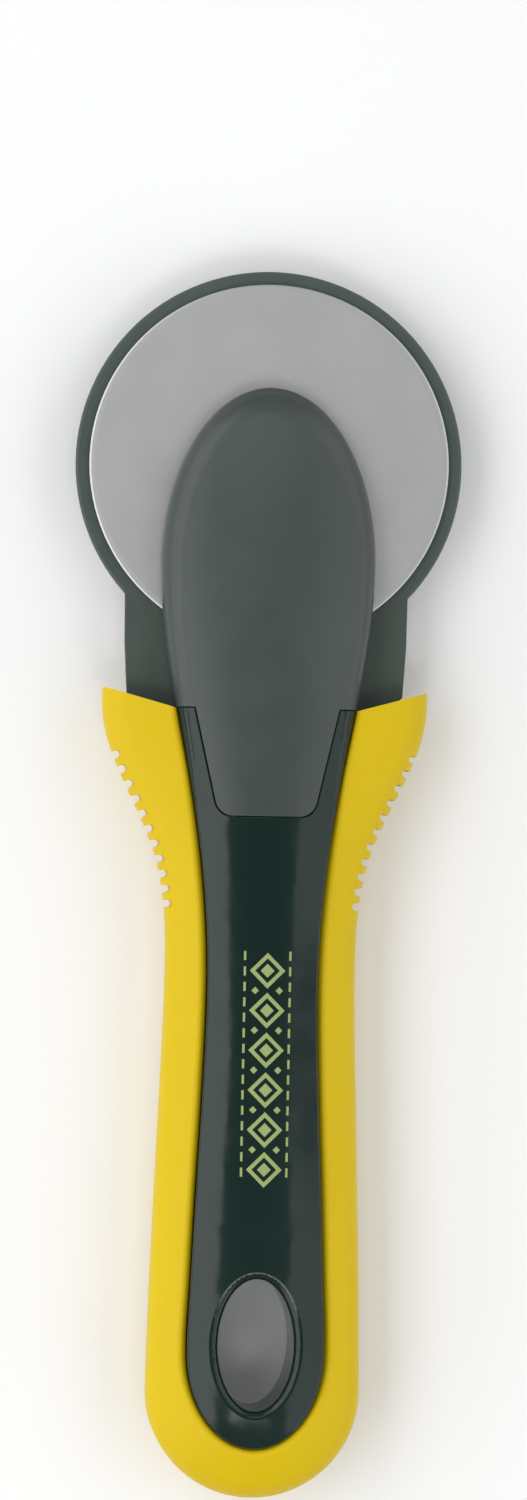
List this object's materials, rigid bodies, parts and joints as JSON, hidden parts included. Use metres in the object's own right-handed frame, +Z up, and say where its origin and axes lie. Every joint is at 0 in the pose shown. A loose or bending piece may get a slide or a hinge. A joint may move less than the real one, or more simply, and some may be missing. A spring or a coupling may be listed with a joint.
{
  "type": "rotary cutter",
  "caption": "Hand rotary cutter for fabric: round blade, sprung blade guard, soft two-colour grip with finger wings and an oval hanging hole.",
  "frame": {"origin": "centre of the cutter's outline on the surface it lies on, back down", "axes": "+Y along the handle towards the blade, +Z up out of the front face, +X to the right seen from the front"},
  "size_m": [0.0644, 0.204, 0.0205],
  "materials": {
    "green_gloss": "polished dark green moulding",
    "green_cover": "satin dark green moulding",
    "guard_plastic": "satin dark green moulding",
    "yellow_grip": "smooth satin soft grip, yellow",
    "blade_steel": "fine ground steel with a polished edge",
    "washer_steel": "plain steel",
    "screw_steel": "zinc-plated steel",
    "spring_steel": "drawn spring wire and strip",
    "axle_brass": "turned brass",
    "knob_plastic": "satin dark green moulding",
    "button_plastic": "satin yellow moulding"
  },
  "bodies": {
    "handle": {"front_core": "green_gloss", "back_core": "green_gloss", "front_grip": "yellow_grip", "back_grip": "yellow_grip", "head_cover": "green_cover", "cover_screws": "screw_steel", "shell_screws": "screw_steel", "axle_stud": "screw_steel", "blade_bush": "axle_brass", "retaining_washer": "washer_steel", "flat_washer": "washer_steel", "guard_spring": "spring_steel", "guard_pin": "screw_steel", "lock_leaf": "spring_steel"},
    "blade": {"rotary_blade": "blade_steel"},
    "guard": {"blade_guard": "guard_plastic"},
    "washer": {"spring_washer": "washer_steel"},
    "knob": {"axle_knob": "knob_plastic", "knob_insert": "axle_brass"},
    "lock": {"lock_button": "button_plastic", "lock_bar": "guard_plastic"}
  },
  "joints": [
    {"name": "blade_spin", "type": "hinge", "parent": "handle", "child": "blade", "pos_m": [0, 0.06975, 0.00997], "axis": [0, 0, 1], "continuous": true},
    {"name": "guard_slide", "type": "slide", "parent": "handle", "child": "guard", "axis": [0, -1, 0], "range_m": [0, 0.0055], "stiffness_N_per_m": 600, "springref_m": -0.005, "deforming": ["guard_spring"]},
    {"name": "knob_lift", "type": "slide", "parent": "handle", "child": "washer", "axis": [0, 0, -1], "range_m": [0, 0.00301]},
    {"name": "knob_turn", "type": "hinge", "parent": "washer", "child": "knob", "pos_m": [0, 0.06975, 0.0035], "axis": [0, 0, -1], "range_deg": [0, 1080]},
    {"name": "lock_slide", "type": "slide", "parent": "handle", "child": "lock", "axis": [0, 1, 0], "range_m": [0, 0.005]}
  ],
  "couplings": [
    {"joint": "knob_lift", "follows": "knob_turn", "m_per_rad": 0.00015915}
  ]
}
